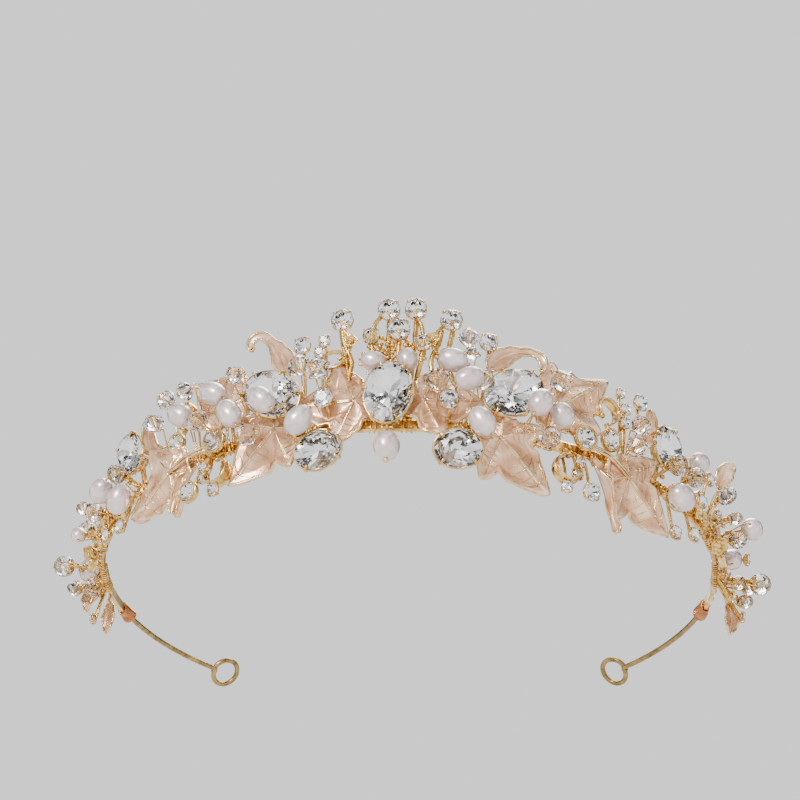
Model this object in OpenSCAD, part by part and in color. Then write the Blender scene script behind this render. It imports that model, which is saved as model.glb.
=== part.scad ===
/* [Headband] */
// Radius of the headband circle, to the middle of the strip
band_r = 73; // [71:0.5:75]
// Height of the flat strip
band_h = 2.6; // [2.4:0.1:2.7]
// Thickness of the strip
band_t = 1; // [0.8:0.1:1.1]
// Angle from the front at which the strip ends
band_end = 99; // [98.5:0.1:99.2]

/* [Spring arms] */
// Diameter of the arm wire
arm_d = 1.3; // [1.1:0.1:1.4]
// Angle from the front at which each arm flexes
arm_root = 101; // [101:0.1:101.3]
// Angle from the front of the eyelet's centre
eyelet_angle = 134.5; // [130:0.5:136]
// Diameter of the eyelet's hole
eyelet_d = 5.6; // [5:0.1:6]
// Lean of the eyelet's hole from level, negative when its front faces up
eyelet_lean = -45; // [-50:5:0]

/* [Copper bindings] */
// Outer diameter of the wound wire
binding_d = 3.8; // [3.7:0.1:4.2]
// Inner diameter of the wound wire
binding_bore = 3.1; // [3.1:0.05:3.2]
// Length of the winding
binding_len = 5.6; // [5:0.1:6]

/* [Oval stones] */
// Length of the central and the two large stones
large_l = 14; // [13:0.5:14]
// Width of the central and the two large stones
large_w = 10; // [9:0.5:10]
// Length of the two lower and the two side stones
small_l = 10; // [9:0.5:10]
// Width of the two lower and the two side stones
small_w = 8; // [7:0.5:8]

/* [Drop pearl] */
// Height of the pivot that the drop pearl swings on
drop_z = -4.6; // [-4.8:0.1:-4.5]
// Distance of the pivot in front of the strip's middle
drop_out = 6.8; // [6.7:0.1:7]
// Diameter of the headpin
pin_d = 0.5; // [0.4:0.05:0.5]
// Running clearance of the pearl on its headpin, on the radius
pin_gap = 0.05; // [0.05:0.01:0.08]

/* [Hidden] */
$fn = 48;
TINY = 8;            // sides of the thin wires and claws
RIM = 24;            // points round an oval stone
LEAF_RIM = 36;       // points round a leaf's outline
STRIP_FACE = band_t / 2;
LEAF_T = 0.8;        // thickness of an enamelled leaf
WIRE_D = 0.7;        // wires that carry beads
STEM_D = 1.1;        // cast stems
CUP_T = 0.35;        // wall of a rhinestone's cup
CUP_FLOOR = 0.35;    // thickness of a cup's floor

// ---- Places. An angle is counted from the front, positive to the wearer's left hand,
// ---- and every ornament is drawn facing -Y with its length along X.

function at(a, z, out) = [(band_r + out) * sin(a), -(band_r + out) * cos(a), z];

module place(a, z, out, roll = 0, down = 0, swing = 0)
    rotate([0, 0, a]) translate([0, -(band_r + out), z])
        rotate([down, 0, swing]) rotate([0, -roll, 0]) children();

module hand(side)
    if (side < 0) mirror([1, 0, 0]) children();
    else children();

// ---- Basic shapes

module strut(p, q, d) {
    v = q - p;
    translate(p) rotate([0, acos(v[2] / norm(v)), atan2(v[1], v[0])])
        cylinder(h = norm(v), d = d, $fn = TINY);
}

// A closed skin through rings that all have the same number of points
module loft(rings, loop = false) {
    n = len(rings[0]);
    m = len(rings);
    last = loop ? m - 1 : m - 2;
    sides = [for (i = [0:last], j = [0:n - 1])
        let (a = i * n + j, b = i * n + (j + 1) % n, c = ((i + 1) % m) * n)
        each [[a, c + (j + 1) % n, c + j], [a, b, c + (j + 1) % n]]];
    caps = loop ? [] : [[for (j = [n - 1:-1:0]) j], [for (j = [0:n - 1]) (m - 1) * n + j]];
    polyhedron([for (r = rings, p = r) p], concat(sides, caps));
}

function oval(l, w, y) = [for (k = [0:RIM - 1]) [l / 2 * cos(k * 360 / RIM), y, w / 2 * sin(k * 360 / RIM)]];

// ---- Stones, settings and beads

STONE_TABLE = 1.7;   // height of an oval stone's table over its girdle
STONE_DEPTH = 2.2;   // depth of an oval stone under its girdle

module oval_stone(l, w)
    color("aliceblue") loft([
        oval(l * 0.56, w * 0.56, -STONE_TABLE), oval(l * 0.86, w * 0.86, -STONE_TABLE * 0.55),
        oval(l, w, -0.2), oval(l, w, 0.2), oval(l * 0.3, w * 0.2, STONE_DEPTH)]);

// A gallery rail under the girdle, a floor, and claws whose heads stand over the crown's edge
module oval_setting(l, w, claws)
    color("gold") {
        rail_y = 0.3;
        rail_h = 2.6;
        loft([for (k = [0:RIM - 1]) let (c = cos(k * 360 / RIM), s = sin(k * 360 / RIM),
            edge = [l / 2 + 0.5, w / 2 + 0.5], foot = [l / 2 - 0.6, w / 2 - 0.6])
            [[(l / 2 - 0.05) * c, rail_y, (w / 2 - 0.05) * s],
             [(foot[0] - 0.8) * c, rail_y + rail_h, (foot[1] - 0.8) * s],
             [foot[0] * c, rail_y + rail_h, foot[1] * s], [edge[0] * c, rail_y, edge[1] * s]]], loop = true);
        for (k = [0:claws - 1]) {
            turn = (k + 0.5) * 360 / claws;
            c = cos(turn);
            s = sin(turn);
            strut([(l / 2 + 0.35) * c, rail_y + 1, (w / 2 + 0.35) * s],
                [(l / 2 + 0.35) * c, -0.9, (w / 2 + 0.35) * s], 0.8);
        }
    }

function stone_depth(d) = d * 0.3;

module rhinestone(d)
    color("white") rotate([90, 0, 0]) {
        cylinder(h = d * 0.22, d1 = d, d2 = d * 0.6);
        translate([0, 0, -stone_depth(d)]) cylinder(h = stone_depth(d), d1 = d * 0.2, d2 = d);
    }

// A cup with a solid floor, open towards -Y, which the stone drops into
module cup(d)
    rotate([-90, 0, 0]) difference() {
        translate([0, 0, 0.05]) cylinder(h = stone_depth(d) + CUP_FLOOR, d = d + 2 * CUP_T);
        cylinder(h = stone_depth(d) + 0.05, d = d + 0.1);
    }

// A rice pearl, long along X
module pearl(w, l)
    color("seashell") rotate([0, 90, 0]) rotate_extrude()
        polygon([for (k = [0:12]) let (t = 180 * k / 12)
            [w / 2 * pow(sin(t), 0.9), -l / 2 * cos(t)]]);

// A faceted bicone, long along X
module bicone(w)
    color("lavenderblush") rotate([0, 90, 0]) {
        cylinder(h = w * 0.45, d1 = w, d2 = w * 0.3);
        translate([0, 0, -w * 0.45]) cylinder(h = w * 0.45, d1 = w * 0.3, d2 = w);
    }

// ---- Leaves

// Distance from a leaf's heart to its edge: five pointed lobes on a rounded blade
function blade(t, size, side_at, side, basal) = size * max([0.5 * max(side, 0.6),
    for (lobe = [[0, 1], [side_at, side], [-side_at, side], [128, basal], [-128, basal]])
        lobe[1] * exp(-pow(abs(((t - lobe[0] + 540) % 360) - 180) / 62, 1.3))]);

// side_at and side place the two side lobes, basal is the length of the two lobes by the stem,
// and dome says how far the rim lies behind the heart
module leaf(size, side_at = 64, side = 0.68, basal = 0.4, dome = 1.4)
    color("peachpuff") loft([for (layer = [[0.05, -1], [0.55, -1], [1, -1], [1, 1], [0.55, 1], [0.05, 1]])
        [for (k = [0:LEAF_RIM - 1]) let (t = k * 360 / LEAF_RIM,
            r = layer[0] * blade(t, size, side_at, side, basal))
            [r * cos(t), layer[1] * LEAF_T / 2 + dome * pow(layer[0], 2), r * sin(t)]]]);

function trail(step, headings, i = 0, p = [0, 0]) = i == len(headings) ? [p] :
    concat([p], trail(step, headings, i + 1, p + step * [cos(headings[i]), sin(headings[i])]));

PETAL_SECTION = [[1, 0.25], [0.5, 1], [-0.5, 1], [-1, 0.25], [-1, -0.25], [-0.5, -1], [0.5, -1], [1, -0.25]];

// A petal that follows a bent line: its heading goes from h0 to h1 and then hooks on to h2,
// while its blade turns by twist about that line
module petal(long, wide, h0, h1, h2, hook_from = 0.6, twist = 0)
    color("peachpuff") {
        n = 14;
        turn = [for (i = [0:n - 1]) let (t = i / (n - 1))
            t < hook_from ? h0 + (h1 - h0) * t / hook_from :
                h1 + (h2 - h1) * (t - hook_from) / (1 - hook_from)];
        p = trail(long / n, turn);
        loft([for (i = [0:n]) let (t = i / n, h = turn[min(i, n - 1)] + 90, tw = twist * t,
            w = wide / 2 * max(pow(sin(180 * pow(t, 0.75)), 0.8), 0.12),
            across = [cos(h) * cos(tw), sin(tw), sin(h) * cos(tw)],
            through = [-cos(h) * sin(tw), cos(tw), -sin(h) * sin(tw)] * LEAF_T / 2)
            [for (c = PETAL_SECTION) [p[i][0], 0, p[i][1]] + across * w * c[0] + through * c[1]]]);
    }

// ---- Headband

module band_strip()
    color("gold") rotate([0, 0, -90 - band_end]) rotate_extrude(angle = 2 * band_end)
        translate([band_r, 0]) polygon([[-band_t / 2, 0.3 - band_h / 2], [0.2 - band_t / 2, -band_h / 2],
            [band_t / 2 - 0.2, -band_h / 2], [band_t / 2, 0.3 - band_h / 2],
            [band_t / 2, band_h / 2 - 0.3], [band_t / 2 - 0.2, band_h / 2],
            [0.2 - band_t / 2, band_h / 2], [-band_t / 2, band_h / 2 - 0.3]]);

module binding(side)
    color("peru") hand(side) rotate([0, 0, arm_root]) translate([0, -band_r, 0]) rotate([0, 90, 0])
        difference() {
            cylinder(h = binding_len, d = binding_d, center = true);
            cylinder(h = binding_len + 1, d = binding_bore, center = true);
        }

EYELET_R = (eyelet_d + arm_d) / 2;

module arm(side)
    color("goldenrod") hand(side) {
        reach = eyelet_angle - EYELET_R / band_r * 180 / PI - arm_root;
        place(arm_root, 0, 0) cylinder(h = 1.6, d = 1.8, center = true);
        rotate([0, 0, arm_root - 90]) rotate_extrude(angle = reach)
            translate([band_r, 0]) circle(d = arm_d);
        place(eyelet_angle, 0, 0, down = eyelet_lean) rotate([90, 0, 0]) rotate_extrude()
            translate([EYELET_R, 0]) square([arm_d, arm_d], center = true);
    }

// ---- Oval stones: [angle, height, distance in front, roll, lean down, swing]

CENTRE = [0, 4.2, 6.4, 83, 4, 0];
LARGE_R = [19, 7.2, 5.2, 32, 6, 0];
LARGE_L = [18.5, 7.4, 5.2, 32, 6, 0];
LOWER_R = [10.5, -7.6, 4.6, 4, 22, 0];
LOWER_L = [10.5, -7.6, 4.6, -16, 22, 0];
SIDE_R = [49.5, 7.6, 4.6, 112, 8, -8];
SIDE_L = [49.5, 7.8, 4.6, 66, 8, -8];

module sit(s) place(s[0], s[1], s[2], s[3], s[4], s[5]) children();

function back_of(s) = at(s[0], s[1] * 0.9, s[2] - 2.6);

module setting(s, l, w, claws, side = 1) hand(side) {
    sit(s) oval_setting(l, w, claws);
    color("gold") strut(on_strip(s[0], s[1] * 3), back_of(s), 1.4);
    color("gold") sit(s) translate([0, 2.6, 0]) rotate([0, 90, 0])
        cylinder(h = l - 2.2, d = 0.9, center = true, $fn = TINY);
}

module stone(s, l, w, side = 1) hand(side) sit(s) oval_stone(l, w);

// ---- Rhinestones: [angle, height, distance in front, diameter]

SPRAY = [[-0.5, 27, 3.4, 4.8], [3.8, 27.2, 3.4, 4.8], [1.2, 21.2, 4.4, 4.8], [-3.2, 20.4, 3.4, 3.6],
    [5, 18.6, 3.4, 3.6], [-8, 25, 3.4, 4.8], [9.5, 24.8, 3.4, 4.8]];
ROUND_R = [[9, 3.6, 5.4, 4.2], [15.5, 20, 3.6, 4], [32, 1.6, 3.4, 4.6], [37, 3.4, 3.4, 4.2],
    [40, 17, 2.8, 2.2], [41, 13.4, 2.8, 2.6], [40.6, 9.8, 2.8, 2.6], [44.2, 16.6, 3.4, 3.6],
    [31, -4.4, 2.8, 2.2], [30.4, -7.4, 2.8, 2.6], [28.4, -11, 2.8, 2.6], [32.6, -11, 3.4, 3.8],
    [52.4, -10.6, 2.4, 3.2], [58.4, -7.8, 2.6, 3.2], [65, 10, 4, 3], [62, 2.6, 3.2, 3],
    [70.5, 4.4, 3.2, 3], [81, 0, 7.6, 2.6], [85.4, -6.4, 3.6, 2.6],
    [88, -10, 5.8, 2.4]];
ROUND_L = [[10, 4.4, 5.4, 4.2], [14.4, 19.6, 3.6, 3.8], [10.8, 20.2, 3.2, 2.6], [11.4, 17.4, 3.2, 2.6],
    [29.4, 1, 3.4, 4.6], [37.8, 4, 3.4, 4], [31.6, -4.4, 2.8, 2.2], [31.2, -7.2, 2.8, 2.4],
    [29, -10.8, 2.8, 2.8], [33.8, -9.6, 3.4, 4], [53.8, -7.4, 2.4, 3.2], [60, -6, 2.6, 3.2],
    [89, -9, 3, 2.4]];

function on_strip(a, z) = at(a, min(max(z * 0.3, -0.9), 0.9), STRIP_FACE);
function behind_cup(s) = at(s[0], s[1], s[2] - stone_depth(s[3]) - CUP_FLOOR / 2);

// Cups that hold rhinestones stand on wires, and a bead cap stands on a cast stem
module cups(stones, caps, side)
    color("gold") hand(side) {
        for (s = concat(stones, caps))
            place(s[0], s[1], s[2], down = 8) cup(s[3]);
        for (s = stones)
            strut(on_strip(s[0], s[1]), behind_cup(s), WIRE_D);
        for (s = caps)
            strut(on_strip(s[0], s[1]), behind_cup(s), STEM_D);
    }

module rounds(list, side) hand(side) for (s = list)
    place(s[0], s[1], s[2], down = 8) rhinestone(s[3]);

module centre_spray()
    color("gold") {
        for (s = SPRAY) {
            place(s[0], s[1], s[2], down = 8) cup(s[3]);
            strut(on_strip(s[0] * 0.55, s[1]), at(s[0] * 0.8, 11, 1), STEM_D);
            strut(at(s[0] * 0.8, 11, 1), behind_cup(s), STEM_D);
        }
        for (side = [-1, 1]) hand(side) {
            scroll(9.4, 15.6, 1.6, 2.6, 60, 300);
            strut(at(9.4, 0.9, STRIP_FACE), at(9.4, 13.4, 1.6), STEM_D);
        }
    }

// ---- Side castings: C scrolls on stems

module scroll(a, z, out, r, from, sweep)
    place(a, z, out) rotate([90, 0, 0]) rotate([0, 0, from]) rotate_extrude(angle = sweep)
        translate([r, 0]) circle(d = STEM_D, $fn = 24);

module vine(side)
    color("gold") hand(side) {
        scroll(37, 11.2, 1.8, 3, -60, 290);
        scroll(29, -6.4, 1.8, 3.2, 100, 290);
        strut(at(37, 0.9, STRIP_FACE), at(37, 8.2, 1.8), STEM_D);
        strut(at(29, -0.9, STRIP_FACE), at(29, -3.2, 1.8), STEM_D);
        for (s = [[62, 3], [76, -2.8], [88, 2.8]])
            scroll(s[0], s[1], 1.9, 2.2, 20, 320);
        for (pair = [CENTRE_LEAF, LOWER_LEAF, UPPER_LEAF, MAPLE_LEAF]) {
            s = of_hand(pair, side);
            strut(on_strip(s[0], s[1]), at(s[0], s[1], s[2]), WIRE_D);
        }
    }

// ---- Bead caps near the ends: [angle, height, distance in front, diameter]

CAPS_R = [[70.4, -2.4, 2, 3.6]];
CAPS_L = [[74.6, -0.7, 1.9, 3.6]];

// ---- Pearls: [angle, height, distance in front, width, length, roll]
// ---- Crystals: [angle, height, distance in front, width, roll]

PEARLS_R = [[-2.6, 13.2, 4.2, 4.4, 5.4, 165], [2.6, 13.4, 4.2, 4.4, 5.2, 100], [9.4, 12, 7, 5, 6.2, 172],
    [11.6, 6.8, 8.6, 4.8, 6.4, 26], [13.4, -3.4, 9, 5, 6.6, 124], [21.6, 2.2, 10.6, 5, 6, 62],
    [25.6, 1.8, 8.4, 4.8, 5.6, 126], [50.4, -4.6, 6, 5.4, 6.6, 158], [56, 7.4, 6.6, 4.4, 4.8, 0]];
PEARLS_L = [[12.6, -2.8, 9, 5.2, 6.8, 128], [18, 2.6, 10.6, 5, 6.8, 46], [24.4, 3.2, 7.6, 5, 7, 60],
    [28, 9.8, 7.2, 5, 6.6, 34], [34.4, 7.6, 7, 5.2, 6.6, 40], [49.6, -4.4, 5.8, 5.2, 6.6, 118],
    [56.4, 2, 6.4, 5, 6, 150]];
END_PEARLS_R = [[73.6, 2.2, 9.8, 5, 5.4, 0], [81, 0.4, 4, 4.8, 5.6, 50]];
END_PEARLS_L = [[69, -0.8, 6.6, 3.4, 4, 60], [84.5, 1, 3.8, 5, 6.2, 80]];

BEADS_R = [[7.1, 7.4, 6.2, 5.4, 100], [12.6, 15.6, 4.8, 3.2, 0], [14.1, 8.1, 6.6, 5, 60],
    [12, 19.4, 5, 4.6, 90], [25.6, 10.2, 8.4, 5, 114], [23.8, -3.6, 7.6, 5, 104],
    [41.4, 7.8, 6.2, 4.8, 46], [40.4, 2.4, 6.2, 4.8, 42], [48.4, 1.6, 7.5, 5, 30],
    [53.4, 1.6, 7.4, 4.6, 18]];
BEADS_L = [[13.9, 12.6, 6, 5.2, 62], [10.8, 11.4, 5.6, 5, 140], [23, 10.6, 10, 4.2, 160],
    [21.4, -2.6, 6.8, 5, 170], [30, 3.6, 7.8, 4.8, 42], [38.8, 14.2, 6.2, 4.6, 40],
    [34.2, 13.8, 6.6, 4.4, 172], [41, 9.4, 6.4, 4.6, 60], [50.1, 2, 6.8, 4.6, 10]];
END_BEADS_R = [[67, 6.6, 6.6, 4.8, 0], [70.4, 3.2, 7, 3.6, 70], [73, -0.4, 6.4, 4.4, 40],
    [83.6, -4, 5, 3.6, 20], [86, -3, 10.2, 5.2, 30], [88, -6, 6.6, 4, 60],
    [88.6, -2.2, 8, 3.8, 50]];
END_BEADS_L = [[60.6, -0.6, 5.6, 4.4, 20], [66, 4, 6.6, 3.8, 60], [72.6, 3.8, 4.6, 4, 100],
    [82, 0, 9.4, 5.2, 20], [86.4, -2.6, 7.2, 4, 80], [89, -3.4, 4.6, 3.2, 0], [84.4, -4, 2.8, 3.6, 40]];

module pearls(list, side) hand(side) for (s = list)
    place(s[0], s[1], s[2], roll = s[5]) pearl(s[3], s[4]);

module beads(list, side) hand(side) for (s = list)
    place(s[0], s[1], s[2], roll = s[4]) bicone(s[3]);

// Each bead's wire runs from the strip into the bead
module wires(side)
    color("gold") hand(side) {
        pearl_list = side > 0 ? concat(PEARLS_R, END_PEARLS_R) : concat(PEARLS_L, END_PEARLS_L);
        bead_list = side > 0 ? concat(BEADS_R, END_BEADS_R) : concat(BEADS_L, END_BEADS_L);
        for (s = concat(pearl_list, bead_list))
            strut(on_strip(s[0], s[1]), at(s[0], s[1], s[2] - s[3] * 0.35), WIRE_D);
    }

// ---- Leaf places: [angle, height, distance in front, roll], on the wearer's left and right

CENTRE_LEAF = [[5.2, 4.8, 2.2, 3], [5.4, 4.8, 2.2, 0]];
LOWER_LEAF = [[17.3, -2.6, 2.6, -44], [18.3, 0.4, 2.6, -44]];
UPPER_LEAF = [[26.9, 7.4, 2.6, 40], [26.8, 8.8, 2.6, 40]];
MAPLE_LEAF = [[40.2, -4, 2.8, -33], [38.5, -2.4, 2.8, -24]];

function of_hand(pair, side) = pair[side > 0 ? 0 : 1];

module leaf_at(pair, side, down = 0) {
    s = of_hand(pair, side);
    hand(side) place(s[0], s[1], s[2], roll = s[3], down = down) children();
}

module centre_leaf(side) leaf_at(CENTRE_LEAF, side) leaf(side > 0 ? 12.4 : 14, 66, 0.72, 0.2, 0.4);

module lower_leaf(side) leaf_at(LOWER_LEAF, side, 10)
    leaf(side > 0 ? 14.6 : 14.2, 64, side > 0 ? 0.66 : 0.58, 0.36);

module upper_leaf(side) leaf_at(UPPER_LEAF, side) leaf(side > 0 ? 15.8 : 13.8, 54);

module maple_leaf(side) leaf_at(MAPLE_LEAF, side, 10) leaf(14.8, 70, side > 0 ? 0.72 : 0.6, 0.3);

module curl_leaf(side) hand(side)
    place(side > 0 ? 15.8 : 16.8, 12.8, 2.6, down = -6)
        if (side > 0) petal(17.5, 5, 62, 14, -120, 0.62);
        else petal(20, 5, 76, 46, -130, 0.7);

module twist_leaf(side) hand(side)
    place(34.2, -1, 1)
        if (side > 0) petal(17, 5, -44, -84, -66, 0.5, 120);
        else petal(12.5, 5, -30, -62, -84, 0.5, 120);

module ribbon_leaf(side) hand(side)
    place(41.5, 4.8, 2.2) petal(16, 3.6, 10, 62, 100, 0.5, 60);

module end_leaf(side) hand(side)
    if (side > 0) place(66.6, 8.6, 5.6, swing = -50) petal(8, 4.4, 80, 60, 10);
    else place(88.5, -0.6, 4.8, swing = -60) petal(6.6, 3.4, -96, -90, -84);

module tail_leaf(side) hand(side)
    if (side > 0) place(88, -6.4, 3, swing = -64) petal(7.6, 3.8, -80, -96, -108);
    else place(92, -2.8, 0.6, swing = -64) petal(8, 3.8, -104, -88, -76);

// ---- Drop pearl: a staple under the central setting, a headpin bent to a loop, and the pearl

LOOP_WIRE = 0.5;
LOOP_R = 0.75;
STAPLE_D = 0.4;
STAPLE_HALF = 1.1;
DROP_W = 5.4;
DROP_L = 6.4;
DROP_TOP = drop_z - LOOP_R - LOOP_WIRE / 2 - 0.1;
HEAD_D = 1.4;

module drop_hanger()
    color("gold") translate([0, -band_r - drop_out, drop_z]) {
        rotate([0, 90, 0]) cylinder(h = 2 * STAPLE_HALF, d = STAPLE_D, center = true);
        for (x = [-STAPLE_HALF, STAPLE_HALF])
            translate([x, 0, 0]) {
                sphere(d = STAPLE_D);
                strut([0, 0, 0], [0, 1.6, 2], STAPLE_D);
            }
    }

module drop_pin()
    color("gold") translate([0, -band_r - drop_out, 0]) {
        translate([0, 0, drop_z]) rotate([0, 90, 0]) rotate_extrude()
            translate([LOOP_R, 0]) circle(d = LOOP_WIRE);
        translate([0, 0, DROP_TOP - DROP_L - 0.2])
            cylinder(h = DROP_L + 0.3 + LOOP_WIRE / 2, d = pin_d);
        translate([0, 0, DROP_TOP - DROP_L - 0.5]) cylinder(h = 0.4, d = HEAD_D);
    }

module drop_pearl()
    color("seashell") translate([0, -band_r - drop_out, DROP_TOP - DROP_L / 2])
        rotate_extrude() polygon(concat(
            [for (k = [1:11]) let (t = 180 * k / 12) [DROP_W / 2 * pow(sin(t), 0.8), -DROP_L / 2 * cos(t)]],
            [[pin_d / 2 + pin_gap, DROP_L / 2 - 0.1], [pin_d / 2 + pin_gap, 0.1 - DROP_L / 2]]));

// ---- Drawing

band_strip();
centre_spray();
setting(CENTRE, large_l, large_w, 6);  // centre_setting
stone(CENTRE, large_l, large_w);  // centre_stone
rounds(SPRAY, 1);  // centre_rhinestones
setting(LARGE_L, large_l, large_w, 6, -1);  // left_large_setting
stone(LARGE_L, large_l, large_w, -1);  // left_large_stone
setting(LARGE_R, large_l, large_w, 6);  // right_large_setting
stone(LARGE_R, large_l, large_w);  // right_large_stone
setting(LOWER_L, small_l, small_w, 4, -1);  // left_lower_setting
stone(LOWER_L, small_l, small_w, -1);  // left_lower_stone
setting(LOWER_R, small_l, small_w, 4);  // right_lower_setting
stone(LOWER_R, small_l, small_w);  // right_lower_stone
setting(SIDE_L, small_l, small_w, 4, -1);  // left_side_setting
stone(SIDE_L, small_l, small_w, -1);  // left_side_stone
setting(SIDE_R, small_l, small_w, 4);  // right_side_setting
stone(SIDE_R, small_l, small_w);  // right_side_stone
centre_leaf(-1);  // left_centre_leaf
centre_leaf(1);  // right_centre_leaf
lower_leaf(-1);  // left_lower_leaf
lower_leaf(1);  // right_lower_leaf
upper_leaf(-1);  // left_upper_leaf
upper_leaf(1);  // right_upper_leaf
maple_leaf(-1);  // left_maple_leaf
maple_leaf(1);  // right_maple_leaf
curl_leaf(-1);  // left_curl_leaf
curl_leaf(1);  // right_curl_leaf
twist_leaf(-1);  // left_twist_leaf
twist_leaf(1);  // right_twist_leaf
ribbon_leaf(-1);  // left_ribbon_leaf
ribbon_leaf(1);  // right_ribbon_leaf
end_leaf(-1);  // left_end_leaf
end_leaf(1);  // right_end_leaf
tail_leaf(-1);  // left_tail_leaf
tail_leaf(1);  // right_tail_leaf
vine(-1);  // left_vine
vine(1);  // right_vine
rounds(ROUND_L, -1);  // left_rhinestones
rounds(ROUND_R, 1);  // right_rhinestones
cups(ROUND_L, CAPS_L, -1);  // left_cups
cups(ROUND_R, CAPS_R, 1);  // right_cups
pearls(PEARLS_L, -1);  // left_pearls
pearls(PEARLS_R, 1);  // right_pearls
pearls(END_PEARLS_L, -1);  // left_end_pearls
pearls(END_PEARLS_R, 1);  // right_end_pearls
beads(BEADS_L, -1);  // left_crystals
beads(BEADS_R, 1);  // right_crystals
beads(END_BEADS_L, -1);  // left_end_crystals
beads(END_BEADS_R, 1);  // right_end_crystals
wires(-1);  // left_wires
wires(1);  // right_wires
binding(-1);  // left_binding
binding(1);  // right_binding
drop_hanger();
drop_pin();
drop_pearl();
arm(-1);  // left_arm
arm(1);  // right_arm
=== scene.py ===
"""A bridal tiara: stones, pearls, crystal beads, enamelled leaves and gilt castings on a headband.

Shapes are built in millimetres, in the frame's own axes, and turned to metres when they become pieces.
+X is to the wearer's left, -Y the front and +Z up. Pieces are named left and right as seen from the
front, so left is at -X. An angle along the band is counted from the front.
"""
from math import atan2, copysign, cos, degrees, exp, pi, radians, sin

import bpy
import numpy as np
from mathutils import Matrix, Vector, noise


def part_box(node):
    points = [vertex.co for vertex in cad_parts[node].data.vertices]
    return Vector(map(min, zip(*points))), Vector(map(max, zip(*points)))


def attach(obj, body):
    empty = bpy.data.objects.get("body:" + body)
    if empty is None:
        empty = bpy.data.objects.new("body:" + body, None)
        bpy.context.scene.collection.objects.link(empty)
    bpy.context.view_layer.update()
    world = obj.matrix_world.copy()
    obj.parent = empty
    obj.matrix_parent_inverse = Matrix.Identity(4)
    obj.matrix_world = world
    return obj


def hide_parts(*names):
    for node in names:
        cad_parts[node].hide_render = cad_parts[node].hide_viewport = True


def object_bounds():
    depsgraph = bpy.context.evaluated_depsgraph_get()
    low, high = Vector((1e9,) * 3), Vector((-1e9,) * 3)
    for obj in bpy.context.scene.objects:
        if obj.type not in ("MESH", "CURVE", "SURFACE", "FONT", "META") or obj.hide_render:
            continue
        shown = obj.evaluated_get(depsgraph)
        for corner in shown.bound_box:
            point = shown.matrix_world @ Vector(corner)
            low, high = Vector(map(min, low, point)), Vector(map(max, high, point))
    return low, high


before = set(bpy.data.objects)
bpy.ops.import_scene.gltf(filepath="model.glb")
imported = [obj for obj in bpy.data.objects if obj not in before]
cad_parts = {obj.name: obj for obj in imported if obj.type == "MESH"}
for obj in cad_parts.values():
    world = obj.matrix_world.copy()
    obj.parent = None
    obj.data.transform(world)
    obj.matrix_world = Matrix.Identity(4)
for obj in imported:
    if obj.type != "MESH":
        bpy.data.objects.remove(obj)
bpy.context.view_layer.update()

MM = 0.001
STRIP_T = 1.0
STRIP_H = 2.6
BAND_R = -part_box("band_strip")[0].y / MM - STRIP_T / 2
CUP_LEAN = 8.0
UP = Vector((0, 0, 1))


def add_object(name, data):
    """A new object in the scene."""
    made = bpy.data.objects.new(name, data)
    bpy.context.scene.collection.objects.link(made)
    return made


# ---- Camera: below the band, looking up at the front

CAMERA_AZIMUTH = 4.06
CAMERA_ELEVATION = -32.85
CAMERA_ROLL = 1.51
CAMERA_DISTANCE = 400.0
CAMERA_AIM = (-2.03, 44.88)
CAMERA_LENS = 74.57


def camera_axes():
    """The camera's right, up and back."""
    a = radians(CAMERA_AZIMUTH)
    e = radians(CAMERA_ELEVATION)
    back = Vector((sin(a) * cos(e), -cos(a) * cos(e), sin(e)))
    right = Vector((cos(a), sin(a), 0))
    turn = Matrix.Rotation(radians(CAMERA_ROLL), 3, back)
    return turn @ right, turn @ back.cross(right), back


def make_camera():
    right, up, back = camera_axes()
    data = bpy.data.cameras.new("camera")
    data.lens = CAMERA_LENS
    data.sensor_width = 36.0
    data.clip_start = 0.01
    data.clip_end = 20.0
    camera = add_object("camera", data)
    place = Matrix((right, up, back)).transposed().to_4x4()
    place.translation = (back * CAMERA_DISTANCE + right * CAMERA_AIM[0] + up * CAMERA_AIM[1]) * MM
    camera.matrix_world = place
    bpy.context.scene.camera = camera


# ---- Materials

def feed(tree, node, **values):
    """Sets inputs of a node, each to a value or to another node's output."""
    for name, value in values.items():
        socket = node.inputs[name.replace("_", " ")]
        if isinstance(value, bpy.types.NodeSocket):
            tree.links.new(value, socket)
        else:
            socket.default_value = value


def add_node(tree, kind, **values):
    node = tree.nodes.new("ShaderNode" + kind)
    feed(tree, node, **values)
    return node


def new_material(name):
    """A material, its node tree and its shader."""
    made = bpy.data.materials.new(name)
    made.use_nodes = True
    return made, made.node_tree, made.node_tree.nodes["Principled BSDF"]


def millimetres(tree):
    """Places on the object, in millimetres."""
    coordinates = add_node(tree, "TexCoord")
    per_metre = (1000, 1000, 1000)
    return add_node(tree, "Mapping", Vector=coordinates.outputs["Object"], Scale=per_metre).outputs["Vector"]


def noise_of(tree, vector, scale, detail=3.0):
    return add_node(tree, "TexNoise", Vector=vector, Scale=scale, Detail=detail).outputs["Fac"]


def ramp(tree, factor, stops):
    node = add_node(tree, "ValToRGB", Fac=factor)
    elements = node.color_ramp.elements
    while len(elements) < len(stops):
        elements.new(0.5)
    for element, (position, colour) in zip(elements, stops):
        element.position = position
        element.color = (*colour, 1.0)
    return node.outputs["Color"]


def scaled(tree, factor, low, high):
    return add_node(tree, "MapRange", Value=factor, To_Min=low, To_Max=high).outputs["Result"]


def bump(tree, height, strength, distance):
    """Relief of a given distance in millimetres."""
    return add_node(tree, "Bump", Height=height, Strength=strength, Distance=distance * MM).outputs["Normal"]


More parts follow.
